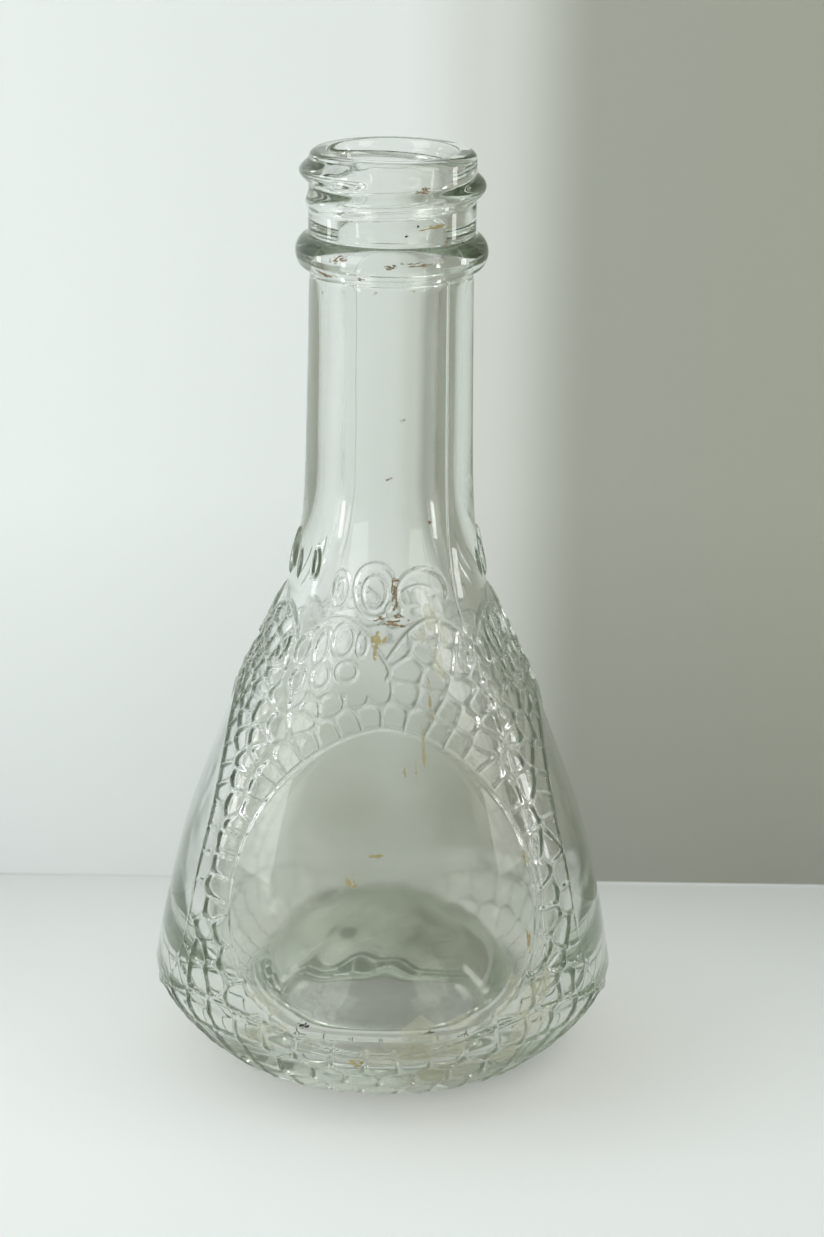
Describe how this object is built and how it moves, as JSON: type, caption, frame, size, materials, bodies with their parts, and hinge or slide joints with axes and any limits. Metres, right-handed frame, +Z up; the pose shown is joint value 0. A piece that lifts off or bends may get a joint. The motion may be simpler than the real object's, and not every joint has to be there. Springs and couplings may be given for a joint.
{
  "type": "conical glass bottle",
  "caption": "Small clear moulded glass bottle with a conical body, four smooth window panels in a raised net pattern, a long neck and an open screw finish.",
  "frame": {"origin": "centre of the round foot, on the surface that the bottle stands on", "axes": "+Z up along the bottle's axis towards the mouth; -Y towards the front window panel; +X to the right of it"},
  "size_m": [0.0504, 0.0504, 0.1005],
  "materials": {
    "clear_glass": "clear, faintly grey-green, glossy"
  },
  "bodies": {
    "root": {"glass_bottle": "clear_glass"}
  },
  "joints": []
}
